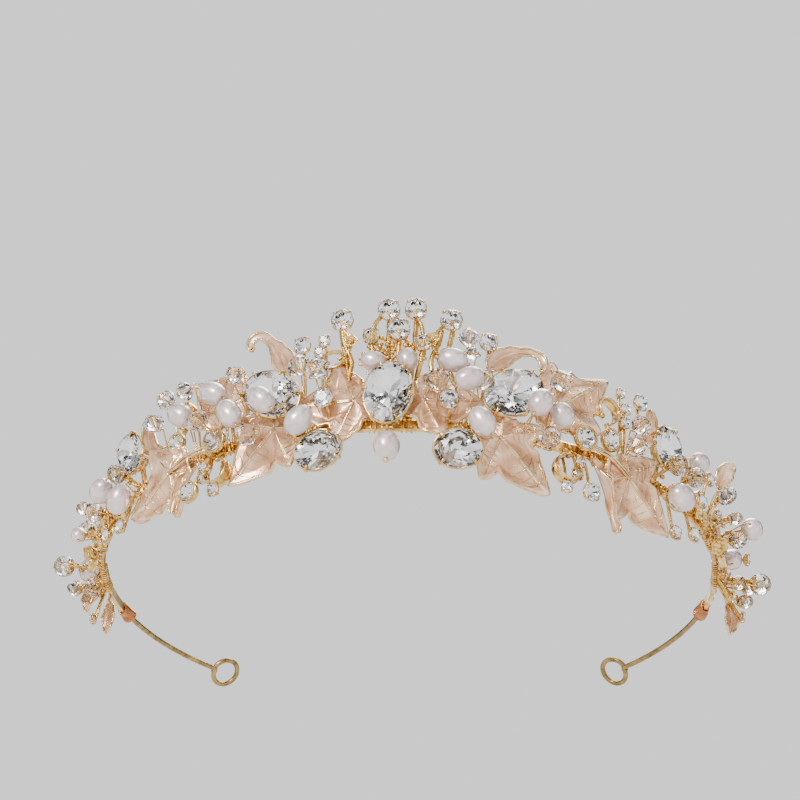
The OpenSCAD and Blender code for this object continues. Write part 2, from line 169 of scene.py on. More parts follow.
def multiplied(tree, first, second, factor):
    """One colour multiplied by another, as far as the factor says."""
    mix = tree.nodes.new("ShaderNodeMix")
    mix.data_type = "RGBA"
    mix.blend_type = "MULTIPLY"
    feed(tree, mix, Factor=factor, A=first, B=second)
    return mix.outputs["Result"]


def metal(name, dark, light, roughness, grain, relief):
    """Plated metal: colour and polish vary over a few millimetres, with a fine cast grain."""
    made, tree, shader = new_material(name)
    place = millimetres(tree)
    feed(tree, shader, Metallic=1.0,
         Base_Color=ramp(tree, noise_of(tree, place, 0.45), [(0.32, dark), (0.68, light)]),
         Roughness=scaled(tree, noise_of(tree, place, 1.3), *roughness),
         Normal=bump(tree, noise_of(tree, place, grain, 4.0), 0.5, relief))
    return made


def gold_polished():
    return metal("gold_polished", (0.52, 0.29, 0.06), (0.94, 0.67, 0.27), (0.10, 0.26), 2.2, 0.06)


def gold_cast():
    return metal("gold_cast", (0.42, 0.21, 0.03), (0.94, 0.62, 0.18), (0.12, 0.32), 3.4, 0.16)


def gold_rim():
    return metal("gold_rim", (0.56, 0.33, 0.12), (0.98, 0.77, 0.45), (0.10, 0.24), 1.8, 0.04)


def arm_gold_painted_shade():
    # Painted shade: the arm wire's gold is darkened for the shadow it lies in.
    return metal("arm_gold_painted_shade", (0.16, 0.10, 0.03), (0.42, 0.28, 0.10), (0.20, 0.40), 2.0, 0.03)


def copper():
    return metal("copper", (0.32, 0.10, 0.03), (0.66, 0.27, 0.11), (0.12, 0.32), 2.5, 0.03)


def enamel():
    """Pearly champagne enamel over a cast leaf, with painted shade: dark orange in the hollows and pale on
    the ridges.
    """
    made, tree, shader = new_material("enamel")
    place = millimetres(tree)
    pools = ramp(tree, noise_of(tree, place, 0.22, 2.0),
                 [(0.30, (0.56, 0.31, 0.17)), (0.5, (0.76, 0.49, 0.32)), (0.66, (0.93, 0.72, 0.55))])
    # Painted shade by Pointiness: hollows and creases darken to dark orange, flat parts a little, ridges
    # keep the full colour.
    relief = ramp(tree, add_node(tree, "NewGeometry").outputs["Pointiness"],
                  [(0.42, (0.34, 0.15, 0.05)), (0.485, (0.84, 0.68, 0.54)), (0.52, (1.0, 1.0, 1.0))])
    feed(tree, shader, Metallic=0.72, Coat_Weight=0.5, Coat_Roughness=0.14,
         Base_Color=multiplied(tree, pools, relief, 0.9),
         Roughness=scaled(tree, noise_of(tree, place, 1.1), 0.24, 0.44),
         Normal=bump(tree, noise_of(tree, place, 1.2, 4.0), 0.5, 0.10))
    return made


def pearl_coat(name, heart, edge):
    """Nacre: a soft body colour that drifts between two tints, under a clear lustre."""
    made, tree, shader = new_material(name)
    place = millimetres(tree)
    body = ramp(tree, noise_of(tree, place, 0.16, 2.0), [(0.35, edge), (0.62, heart)])
    cloud = ramp(tree, noise_of(tree, place, 0.5), [(0.35, (0.93, 0.90, 0.92)), (0.65, (1.0, 1.0, 1.0))])
    feed(tree, shader, Metallic=0.6, Specular_IOR_Level=0.6,
         Coat_Weight=0.7, Coat_Roughness=0.07, Coat_IOR=1.5,
         Base_Color=multiplied(tree, body, cloud, 1.0),
         Roughness=scaled(tree, noise_of(tree, place, 0.9), 0.24, 0.36),
         Normal=bump(tree, noise_of(tree, place, 1.2, 3.0), 0.25, 0.06))
    return made


def clear_glass(name, tint, ior, roughness):
    """Cut glass: faint scratches and a slight change of tint."""
    made, tree, shader = new_material(name)
    place = millimetres(tree)
    pale = tuple(0.5 + 0.5 * c for c in tint)
    feed(tree, shader, Transmission_Weight=1.0, IOR=ior,
         Base_Color=ramp(tree, noise_of(tree, place, 0.25), [(0.3, tint), (0.7, pale)]),
         Roughness=scaled(tree, noise_of(tree, place, 3.0), roughness, roughness + 0.01),
         Normal=bump(tree, noise_of(tree, place, 0.8, 2.0), 0.02, 0.02))
    return made


def foil():
    """The silvered back of a stone."""
    return metal("foil", (0.86, 0.86, 0.87), (1.0, 1.0, 1.0), (0.02, 0.08), 1.5, 0.005)


MATERIAL = {
    "gold": gold_polished(), "cast": gold_cast(), "rim": gold_rim(), "arm": arm_gold_painted_shade(), "copper": copper(),
    "enamel": enamel(), "foil": foil(),
    "pearl": pearl_coat("pearl", (0.76, 0.66, 0.62), (0.60, 0.50, 0.48)),
    "glass": clear_glass("stone_glass", (0.99, 0.99, 0.98), 1.5, 0.0),
    "bead": clear_glass("bead_glass", (1.0, 0.93, 0.90), 1.56, 0.01),
}


# ---- Shapes in millimetres

class Shape:
    """A mesh under construction: points, faces, and each face's material and smoothness."""

    def __init__(self):
        self.points = []
        self.faces = []
        self.looks = []
        self.smooth = []
        self.names = []

    def add(self, surface, look, place=None, smooth=True):
        points, faces = surface
        start = len(self.points)
        flipped = place is not None and place.determinant() < 0
        self.points += [place @ Vector(p) if place is not None else Vector(p) for p in points]
        for face in faces:
            around = [start + i for i in face]
            self.faces.append(around[::-1] if flipped else around)
        if look not in self.names:
            self.names.append(look)
        self.looks += [self.names.index(look)] * len(faces)
        self.smooth += [smooth] * len(faces)

    def piece(self, name, body, slot, *nodes):
        """Makes the mesh a piece that rides on a body and stands for those CAD nodes."""
        mesh = bpy.data.meshes.new(name)
        mesh.from_pydata([p * MM for p in self.points], [], self.faces)
        for look in self.names:
            mesh.materials.append(MATERIAL[look])
        mesh.polygons.foreach_set("material_index", self.looks)
        mesh.polygons.foreach_set("use_smooth", self.smooth)
        mesh.validate()
        mesh.update()
        made = add_object(name, mesh)
        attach(made, body)
        if nodes:
            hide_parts(*nodes)
        return made


def skin(rings, closed=False):
    """A surface through rings of points, capped at both ends unless it closes on itself."""
    n = len(rings[0])
    m = len(rings)
    faces = []
    for i in range(m if closed else m - 1):
        for j in range(n):
            k = (j + 1) % n
            a = i * n
            b = (i + 1) % m * n
            faces.append([a + j, a + k, b + k, b + j])
    if not closed:
        faces.append(list(range(n))[::-1])
        faces.append([(m - 1) * n + j for j in range(n)])
    return [p for ring in rings for p in ring], faces


def polar(radius, turn, height=0.0):
    return Vector((radius * cos(turn), radius * sin(turn), height))


def round_turns(count):
    """That many even turns round a circle, in radians."""
    return [2 * pi * k / count for k in range(count)]


def revolved(profile, sides):
    """A skin of [radius, height] rings about Z, from the lowest to the highest."""
    return skin([[polar(r, t, z) for t in round_turns(sides)] for r, z in profile])


def smooth_path(points, steps):
    """A Catmull-Rom curve through the points."""
    last = len(points) - 1
    path = []
    for i in range(last):
        a, b, c, d = (points[min(max(i + k, 0), last)] for k in (-1, 0, 1, 2))
        for step in range(steps):
            t = step / steps
            path.append(0.5 * (2 * b + (c - a) * t + (2 * a - 5 * b + 4 * c - d) * t * t
                               + (3 * b - a - 3 * c + d) * t ** 3))
    return path + [points[-1]]


def tube(path, radius, sides=10, closed=False, flat=1.0, wide=None):
    """A tube along a path. radius is a number, or a function of the share of the way and the turn
    round the tube. flat squeezes it across the direction given by wide."""
    n = len(path)
    size = radius if callable(radius) else lambda share, turn: radius
    rings = []
    side = None
    for i in range(n):
        after = (i + 1) % n if closed else min(i + 1, n - 1)
        before = i - 1 if closed else max(i - 1, 0)
        ahead = (path[after] - path[before]).normalized()
        if wide is not None:
            side = wide - ahead * wide.dot(ahead)
        elif side is None:
            side = ahead.orthogonal()
        else:
            side = side - ahead * side.dot(ahead)
        side = side.normalized()
        other = ahead.cross(side)
        ring = []
        for t in round_turns(sides):
            r = size(i / (n - 1), t)
            ring.append(path[i] + side * (r * cos(t)) + other * (r * flat * sin(t)))
        rings.append(ring)
    return skin(rings, closed)


def add_curve(shape, points, steps, radius, sides, look):
    """A wire or stem that runs smoothly through the points."""
    shape.add(tube(smooth_path(points, steps), radius, sides), look)


def rope(radius, twists):
    """The radius of a two-strand twisted wire."""
    depth = 0.2

    def at(share, turn):
        return radius * (1 - depth + depth * abs(cos(turn - pi * twists * share)) * 2)

    return at


def tapered(radius, tip):
    """A radius that narrows to its tip's share at both ends."""
    def at(share, turn):
        return radius * (tip + (1 - tip) * sin(pi * min(max(share, 0.04), 0.96)) ** 0.6)

    return at


def ball(centre, radius, squash=1.0):
    """A small granule, a little uneven."""
    rows = 8
    turns = [pi * k / rows for k in range(rows + 1)]
    profile = [(max(radius * sin(t), 0.004), -radius * squash * cos(t)) for t in turns]
    points, faces = revolved(profile, 12)
    wobble = [p * (1 + 0.07 * noise.noise(p * (1.4 / radius) + centre)) for p in points]
    return [centre + p for p in wobble], faces


# ---- Places

def noise_at(x, y, z):
    """Smooth noise from -1 to 1."""
    return noise.noise(Vector((x, y, z)))


def on_ring(angle, height, out):
    """A place in front of the strip's middle line by out, at an angle along the band."""
    a = radians(angle)
    return Vector(((BAND_R + out) * sin(a), -(BAND_R + out) * cos(a), height))


def out_from(point):
    return Vector((point.x, point.y, 0)).normalized()


def band_angle(point):
    """A place's angle along the band, in degrees from the front."""
    return degrees(atan2(point[0], -point[1]))


def facing(point, down=0.0, roll=0.0, swing=0.0):
    """At a point, X runs along the band, Y up and Z out of it, then leant down, rolled and swung."""
    out = out_from(point)
    axes = Matrix((UP.cross(out), UP, out)).transposed().to_4x4()
    return (Matrix.Translation(point) @ axes @ Matrix.Rotation(radians(swing), 4, "Y")
            @ Matrix.Rotation(radians(down), 4, "X") @ Matrix.Rotation(radians(roll), 4, "Z"))


SIDES = {"left": -1, "right": 1}
FLIPS = {-1: Matrix.Scale(-1, 4, (1, 0, 0)), 1: Matrix.Identity(4)}


def solids(node):
    """The separate solids of a CAD node: the points of each, in millimetres."""
    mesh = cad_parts[node].data
    co = np.empty(len(mesh.vertices) * 3)
    mesh.vertices.foreach_get("co", co)
    co, index = np.unique(np.round(co.reshape(-1, 3) / MM, 4), axis=0, return_inverse=True)
    index = index.ravel()
    parent = list(range(len(co)))

    def root(i):
        while parent[i] != i:
            parent[i] = parent[parent[i]]
            i = parent[i]
        return i

    for edge in mesh.edges:
        a, b = root(index[edge.vertices[0]]), root(index[edge.vertices[1]])
        parent[max(a, b)] = min(a, b)
    groups = {}
    for i in range(len(co)):
        groups.setdefault(root(i), []).append(i)
    return [co[members] for _, members in sorted(groups.items())]


def fitted(points, front=True):
    """Centre, axes from longest to shortest, and the extent along each. The last axis points outwards."""
    mean = points.mean(0)
    values, vectors = np.linalg.eigh(np.cov((points - mean).T))
    axes = [Vector(vectors[:, k]) for k in np.argsort(-values)]
    if front and axes[2].dot(out_from(Vector(mean))) < 0:
        axes[2] = -axes[2]
    axes[1] = axes[2].cross(axes[0])
    ranges = [(float((points @ np.array(a)).min()), float((points @ np.array(a)).max())) for a in axes]
    centre = sum((a * ((low + high) / 2) for a, (low, high) in zip(axes, ranges)), Vector((0, 0, 0)))
    return centre, axes, [high - low for low, high in ranges]


def frame_of(centre, axes):
    place = Matrix(axes).transposed().to_4x4()
    place.translation = centre
    return place


# ---- Stones

def brilliant(length, width, crown, depth, table):
    """A brilliant cut with its girdle at Z = 0 and its table at Z = crown. Returns crown and back."""
    fold = 8
    waist = 0.30
    half = pi / fold
    edge = 0.03 * width
    middle = 0.5 * (1 + table) + 0.03

    def ring(radius, height, shift):
        turns = [(2 * k + shift) * half for k in range(fold)]
        return [Vector((length / 2 * radius * cos(t), width / 2 * radius * sin(t), height))
                for t in turns]

    rise = crown * (1 - middle * cos(half)) / (1 - table)
    drop = -depth * (1 - waist * cos(half))
    tops = ring(table, edge + crown, 0)
    middles = ring(middle, edge + rise, 1)
    girdle = [p for pair in zip(ring(1, edge, 0), ring(1, edge, 1)) for p in pair]
    under = [Vector((p.x, p.y, -edge)) for p in girdle]
    low = ring(waist, drop - edge, 1)
    points = tops + middles + girdle
    t, m, g = 0, fold, 2 * fold
    faces = [[t + k for k in range(fold)]]
    for k in range(fold):
        nxt = (k + 1) % fold
        faces += [[t + k, m + k, t + nxt], [t + k, m + (k - 1) % fold, g + 2 * k, m + k],
                  [m + k, g + 2 * k, g + 2 * k + 1], [m + k, g + 2 * k + 1, g + 2 * nxt]]
    u = len(points)
    points += under
    for k in range(2 * fold):
        nxt = (k + 1) % (2 * fold)
        faces.append([g + k, u + k, u + nxt, g + nxt])
    back_points = under + low + [Vector((0, 0, -depth - edge))]
    lo, tip = 2 * fold, 3 * fold
    back_faces = []
    for k in range(fold):
        nxt = (k + 1) % fold
        back_faces += [[lo + (k - 1) % fold, tip, lo + k, 2 * k],
                       [2 * k, lo + k, 2 * k + 1], [2 * k + 1, lo + k, 2 * nxt]]
    return (points, faces), (back_points, back_faces)


def add_stone(shape, place, length, width, crown, depth, table):
    crown_skin, back_skin = brilliant(length, width, crown, depth, table)
    shape.add(crown_skin, "glass", place, smooth=False)
    shape.add(back_skin, "foil", place, smooth=False)


OVAL_TABLE = 1.7
# The claws that hold each oval stone
OVAL_CLAWS = {"centre": 6, "left_large": 6, "right_large": 6, "left_lower": 4, "right_lower": 4,
              "left_side": 4, "right_side": 4}
# The rails of an oval's gallery: height, how far they stand out, thickness
OVAL_RAILS = [(0.1, 0.05, 0.26), (-1.5, -1.6, 0.3), (-2.9, -3.6, 0.3)]
OVAL_STRUTS = 16
OVAL_FOOT = -3.0


def oval_place(node):
    """Where an oval stone lies, with X along it and Z through its table, and its length and width."""
    centre, axes, size = fitted(solids(node)[0])
    girdle = centre + axes[2] * (size[2] / 2 - OVAL_TABLE)
    return frame_of(girdle, axes), size[0], size[1]


def oval_stone(name):
    node = name + "_stone"
    place, length, width = oval_place(node)
    shape = Shape()
    add_stone(shape, place, length - 0.1, width - 0.1, OVAL_TABLE - 0.35, 2.1, 0.58)
    shape.piece(node + "_cut", "root", "stone", node)


def oval_setting(name):
    """An open gallery of rails joined by struts, with claws that close over the girdle."""
    node = name + "_setting"
    place, length, width = oval_place(name + "_stone")

    def round_oval(grow, turn, height):
        return Vector(((length + grow) / 2 * cos(turn), (width + grow) / 2 * sin(turn), height))

    shape = Shape()
    for height, grow, thick in OVAL_RAILS:
        rail = [round_oval(grow, t, height - 0.35) for t in round_turns(48)]
        shape.add(tube(rail, thick, 8, closed=True), "gold", place)
    for k in range(OVAL_STRUTS):
        t = 2 * pi * (k + 0.5) / OVAL_STRUTS
        path = [round_oval(grow, t, height - 0.35) for height, grow, _ in OVAL_RAILS]
        shape.add(tube(smooth_path(path, 4), 0.2, 6), "gold", place)
    claws = OVAL_CLAWS[name]
    for k in range(claws):
        t = 2 * pi * (k + 0.5) / claws
        waist = round_oval(0.5, t, -0.2)
        tip = [waist + polar(-0.12, t, 0.7), waist + polar(-0.75, t, 1.05)]
        path = smooth_path([round_oval(-0.8, t, -2.2), waist] + tip, 5)
        shape.add(tube(path, lambda share, turn: 0.42 - 0.1 * share, 10, flat=0.8), "gold", place)
        shape.add(ball(path[-1], 0.36, 0.8), "gold", place)
    post = solids(node)[0]
    foot = Vector(post[np.argmin(np.hypot(post[:, 0], post[:, 1]))])
    head = place @ Vector((0, 0, OVAL_FOOT))
    shape.add(tube([head, foot.lerp(head, 0.5), foot], 0.6, 10), "cast")
    bar = length / 2 - 1.9
    bar_path = [Vector((-bar, 0, OVAL_FOOT)), Vector((0, 0, OVAL_FOOT - 0.1)), Vector((bar, 0, OVAL_FOOT))]
    shape.add(tube(bar_path, 0.35, 8), "cast", place)
    shape.piece(node + "_gallery", "root", "gold", node)


# ---- Round stones and their cups

def round_place(points):
    """Where a round stone lies, from its solid, with its diameter."""
    girdle = Vector((points.min(0) + points.max(0)) / 2)
    place = facing(girdle, CUP_LEAN)
    along, up, out = place.to_3x3().transposed()
    across = points @ np.array(along)
    depth = points @ np.array(out)
    rise = points @ np.array(up)
    size = float(across.max() - across.min())
    girdle = girdle + along * (float(across.max() + across.min()) / 2 - girdle.dot(along))
    girdle = girdle + out * (float(depth.max()) - 0.22 * size - girdle.dot(out))
    girdle = girdle + up * (float(rise.max() + rise.min()) / 2 - girdle.dot(up))
    place.translation = girdle
    return place, size


def add_cup(shape, place, size, bezel):
    """A pressed cup under the girdle with four tabs over it. A bezel's wall shows round the stone."""
    r = size / 2
    deep = -0.3 * size - 0.35
    lip = 0.2 if bezel else -0.25
    wall = r + 0.48 if bezel else r - 0.02
    inner = r + 0.05 if bezel else r - 0.22
    profile = [(0.15, deep), (wall * 0.55, deep), (wall * 0.8, deep + 0.18), (wall, deep * 0.5),
               (wall, lip - 0.1), (wall - 0.08, lip), (inner, lip), (inner - 0.02, lip - 0.2),
               (inner * 0.7, deep * 0.7), (0.15, deep * 0.8)]
    shape.add(revolved(profile, 28), "gold", place)
    width = 0.2 + 0.035 * size
    for k in range(4):
        t = pi / 4 + pi / 2 * k
        tab = [(0.02, -0.7), (0.14, 0.05), (-0.12, 0.34), (-0.34, 0.46)]
        path = smooth_path([polar(r + away, t, rise) for away, rise in tab], 4)
        shape.add(tube(path, lambda share, turn: width * (1 - 0.45 * share), 8, flat=0.55,
                       wide=polar(1, t).cross(UP)), "gold", place)


def stem(shape, start, end, radius, bow=0.0):
    """A twisted cast stem between two places, bowed outwards along the band."""
    middle = start.lerp(end, 0.5) + UP.cross(out_from(start)) * bow
    add_curve(shape, [start, middle, end], 12, rope(radius, (end - start).length * 0.9), 12, "cast")


def strip_point(point):
    """The strip's face behind a place."""
    return on_ring(band_angle(point), min(max(point.z * 0.3, -0.9), 0.9), STRIP_T / 2 - 0.1)


BEZEL_SIZE = 4.0
BEZEL_FROM_X = 25


def round_stones(name):
    """The round stones of one side or of the spray. Returns their cups, which aren't a piece yet."""
    node = name + "_rhinestones"
    shape = Shape()
    cups = Shape()
    for points in solids(node):
        place, size = round_place(points)
        add_stone(shape, place, size, size, 0.2 * size, 0.29 * size, 0.54)
        bezel = name != "centre" and size >= BEZEL_SIZE and abs(place.translation.x) > BEZEL_FROM_X
        add_cup(cups, place, size, bezel)
        back = place @ Vector((0, 0, -0.3 * size - 0.3))
        if name != "centre":
            stem(cups, strip_point(back), back, 0.3, 0.5)
    shape.piece(name + "_round_stones", "root", "stone", node)
    return cups


# ---- Pearls and crystal beads

def add_pearl(shape, place, width, length, seed):
    """A rice pearl along Z: uneven, with a drill hole at each end."""
    rows = 26
    hole = 0.22
    hole_depth = 0.9
    rings = []
    for i in range(rows + 1):
        t = pi * i / rows
        radius = width / 2 * max(sin(t), 0.0) ** 0.9
        height = -length / 2 * cos(t)
        if radius < hole:
            radius = hole
            height *= 0.97
        ring = []
        for a in round_turns(36):
            p = polar(radius, a, height)
            broad = noise.noise(p * 0.45 + Vector((seed * 7.3, seed, 0)))
            lump = 1 + 0.022 * broad + 0.006 * noise.noise(p * 1.7)
            ring.append(Vector((p.x * lump, p.y * lump, p.z)))
        rings.append(ring)
    low = [Vector((p.x * 0.8, p.y * 0.8, p.z + hole_depth)) for p in rings[0]]
    high = [Vector((p.x * 0.8, p.y * 0.8, p.z - hole_depth)) for p in rings[-1]]
    shape.add(skin([low] + rings + [high]), "pearl", place)


def add_bicone(shape, place, width, length):
    """A cut bead along Z with twelve sides, a row of kites at its waist and flat ends."""
    sides = 12
    half = pi / sides

    def ring(radius, height, shift):
        return [polar(radius, (2 * k + shift) * half, height) for k in range(sides)]

    r = width / 2
    h = length / 2
    rings = [ring(r * 0.30, -h, 0), ring(r * 0.80, -h * 0.42, 0), ring(r, 0, 1),
             ring(r * 0.80, h * 0.42, 0), ring(r * 0.30, h, 0)]
    points = [p for row in rings for p in row]
    faces = [list(range(sides))[::-1], [4 * sides + k for k in range(sides)]]
    for k in range(sides):
        nxt = (k + 1) % sides
        a, b, c, d, e = (row * sides for row in range(5))
        faces += [[a + k, a + nxt, b + nxt, b + k], [d + k, d + nxt, e + nxt, e + k],
                  [b + k, b + nxt, c + k], [b + nxt, c + nxt, c + k],
                  [c + k, d + nxt, d + k], [c + k, c + nxt, d + nxt]]
    shape.add((points, faces), "bead", place, smooth=False)


WIRE_R = 0.17


def add_bead_wire(shape, centre, axis, length):
    """The beading wire: off the strip, through the bead, and back to the strip on the other side."""
    out = out_from(centre)
    reach = length / 2
    anchor = strip_point(centre)
    along = UP.cross(out)
    ends = []
    for sign in (-1, 1):
        mouth = centre + axis * (sign * reach)
        bend = mouth + axis * (sign * 0.35) - out * 0.7
        back = centre + axis * (sign * reach * 0.7) - out * (length * 0.55)
        ends.append([anchor + along * (0.5 * sign), back, bend, mouth])
    add_curve(shape, ends[0] + [centre] + ends[1][::-1], 6, WIRE_R, 6, "gold")


def wrap_strip(shape, angle):
    """Three turns of wire round the strip."""
    turns = 3
    steps = 16
    degrees_a_turn = 0.8
    path = []

    def squared(share, half):
        return abs(share) ** 0.6 * copysign(1, share) * (half + WIRE_R)

    for i in range(turns * steps + 1):
        t = 2 * pi * i / steps
        across = squared(cos(t), STRIP_T / 2)
        rise = squared(sin(t), STRIP_H / 2)
        path.append(on_ring(angle + degrees_a_turn * i / steps, rise, across))
    shape.add(tube(path, WIRE_R, 6), "gold")


def beads(side):
    """Pearls and crystals of one side, and the wires that hold them."""
    wires = Shape()
    for group in ("pearls", "end_pearls", "crystals", "end_crystals"):
        node = f"{side}_{group}"
        shape = Shape()
        for number, points in enumerate(solids(node)):
            centre, axes, size = fitted(points, front=False)
            axis = axes[0]
            turned = frame_of(centre, [axes[1], axis.cross(axes[1]), axis])
            if "pearls" in group:
                add_pearl(shape, turned, size[1], size[0], number + (0.5 if side == "left" else 0.0))
            else:
                add_bicone(shape, turned, size[1], size[0])
            add_bead_wire(wires, centre, axis, size[0])
            wrap_strip(wires, band_angle(centre) - 1.2)
        slot = "pearl" if "pearls" in group else "bead_crystal"
        shape.piece(f"{side}_{group}_strung", "root", slot, node)
    wires.piece(f"{side}_beading_wire", "root", "gold", f"{side}_wires")


# ---- Leaves

def apart(turn, other):
    """Degrees between two turns."""
    return abs((turn - other + 540) % 360 - 180)


def blade(turn, lobes):
    """The share of a leaf's length that its edge reaches at a turn in degrees."""
    least = 0.36
    lobe_width = 52
    return max([least] + [share * exp(-(apart(turn, at) / lobe_width) ** 1.4) for at, share in lobes])


def leaf_frame(node):
    """A leaf's heart, and its axes: towards the tip, across, and outwards."""
    points = solids(node)[0]
    _, axes, _ = fitted(points)
    out = axes[2]
    order = np.argsort(-(points @ np.array(out)))
    foremost = 36
    heart = Vector(points[order[:foremost]].mean(0))
    reach = np.linalg.norm(points - np.array(heart), axis=1)
    tip = Vector(points[int(np.argmax(reach))]) - heart
    tip = tip - out * tip.dot(out)
    size = tip.length
    tip = tip.normalized()
    return frame_of(heart, [tip, out.cross(tip), out]), size


LEAF_T = 0.75
# The side lobes' turn and length, the length of the two lobes by the stalk, and the teeth round the edge
LEAF_LOBES = {"centre": (66, 0.72, 0.2, 11), "lower": (64, 0.64, 0.38, 11),
              "upper": (54, 0.68, 0.4, 13), "maple": (70, 0.68, 0.3, 10)}


def leaf(side, kind):
    """A cast leaf: every lobe folds along its vein, and the toothed edge waves and turns up."""
    node = f"{side}_{kind}_leaf"
    place, size = leaf_frame(node)
    side_at, side_share, basal, teeth = LEAF_LOBES[kind]
    steps = 216
    rows = 22
    seed = sum(map(ord, node)) * 0.37
    veins = [(0, 1.0), (side_at, side_share), (-side_at, side_share), (128, basal), (-128, basal)]

    def reach(turn):
        drift = 14 * noise_at(turn * 0.03, seed, 4) * abs(sin(radians(turn / 2)))
        tooth = 1 - abs(sin(radians((turn + drift) * teeth / 2)))
        depth = 0.13 + 0.09 * noise_at(turn * 0.02, seed, 8)
        notch = depth * (tooth ** 1.2 - 0.42) + 0.03 * noise_at(turn * 0.05, seed, 0)
        soft = sum(blade(turn + d, veins) for d in (-4, 0, 4)) / 3
        return size * soft * (1 + notch)

    def height(turn, share):
        nearest = min(veins, key=lambda v: apart(turn, v[0]))
        off = radians(apart(turn, nearest[0]))
        r = share * size * blade(turn, veins)
        fold = -0.42 * r * sin(min(off, 1.2)) * (1 - 0.45 * share)
        ribs = 0.05 * share * sin(share * 24 - degrees(off) * 0.22)
        ribs *= sin(min(off * 4, pi))
        wave = share ** 2 * (0.55 * sin(radians(turn * 5.3 + seed * 60))
                             + 0.7 * noise_at(turn * 0.035, share * 1.5, seed))
        cup = -1.1 * share ** 2 + 1.7 * max(share - 0.78, 0) * size * 0.16
        return fold + ribs + wave + cup

    def spot(turn, share, lift=0.0):
        a = radians(turn)
        r = share * reach(turn)
        return Vector((r * cos(a), r * sin(a), height(turn, share) + lift))

    top = [[spot(360 * k / steps, 0.02 + 0.98 * i / rows) for k in range(steps)] for i in range(rows + 1)]
    under = [[p - UP * LEAF_T for p in ring] for ring in top]
    shape = Shape()
    shape.add(skin(under + top[::-1]), "enamel", place)
    edge = [p - UP * (LEAF_T / 2) for p in top[-1]]
    shape.add(tube(edge, 0.36, 8, closed=True), "rim", place)
    shortest_veined = 0.3
    for at, share in veins:
        if share < shortest_veined:
            continue
        for gap in (-5, 5) if at == 0 else (0,):
            vein = [spot(at + gap * (0.25 / (s + 0.18)) ** 0.7, s, 0.06)
                    for s in (0.04 + 0.88 * i / 16 for i in range(17))]
            shape.add(tube(vein, lambda q, turn: 0.24 - 0.13 * q, 8), "rim", place)
        for i in range(3, 12, 2):
            for sign in (-1, 1):
                s = 0.04 + 0.07 * i
                branch = [spot(at + sign * j * 4.2, min(s + 0.045 * j, 0.95), 0.04) for j in range(7)]
                shape.add(tube(branch, lambda q, turn: 0.15 - 0.10 * q, 6), "rim", place)
    shape.piece(node + "_cast", "root", "leaf_enamel", node)


# ---- Petals: (lean, swing, length, width, headings at start, hook and tip, share where it hooks, twist)

PETALS = {
    "right_curl_leaf": (-6, 0, 17.5, 5, 62, 14, -120, 0.62, 0),
    "left_curl_leaf": (-6, 0, 20, 5, 76, 46, -130, 0.7, 0),
    "right_twist_leaf": (0, 0, 17, 5, -44, -84, -66, 0.5, 120),
    "left_twist_leaf": (0, 0, 12.5, 5, -30, -62, -84, 0.5, 120),
    "right_ribbon_leaf": (0, 0, 16, 3.6, 10, 62, 100, 0.5, 60),
    "left_ribbon_leaf": (0, 0, 16, 3.6, 10, 62, 100, 0.5, 60),
    "right_end_leaf": (0, -50, 8, 4.4, 80, 60, 10, 0.6, 0),
    "left_end_leaf": (0, -60, 6.6, 3.4, -96, -90, -84, 0.6, 0),
    "right_tail_leaf": (0, -64, 7.6, 3.8, -80, -96, -108, 0.6, 0),
    "left_tail_leaf": (0, -64, 8, 3.8, -104, -88, -76, 0.6, 0),
}
PETAL_T = 0.45
# The share of a petal's width at each share of its length
WIDTHS = {
    "curl": [(0, 0.30), (0.10, 0.80), (0.25, 1.0), (0.42, 0.72), (0.58, 0.42), (0.70, 0.46), (0.84, 0.62),
             (0.95, 0.5), (1, 0.28)],
    "twist": [(0, 0.30), (0.15, 0.7), (0.4, 1.0), (0.65, 0.7), (0.82, 0.42), (0.95, 0.5), (1, 0.24)],
    "plain": [(0, 0.35), (0.2, 0.8), (0.5, 1.0), (0.8, 0.75), (0.94, 0.45), (1, 0.14)],
}


def between(table, t):
    """A smooth value read from a table of (place, value)."""
    for (t0, v0), (t1, v1) in zip(table, table[1:]):
        if t <= t1:
            q = (t - t0) / (t1 - t0)
            q = q * q * (3 - 2 * q)
            return v0 + (v1 - v0) * q
    return table[-1][1]


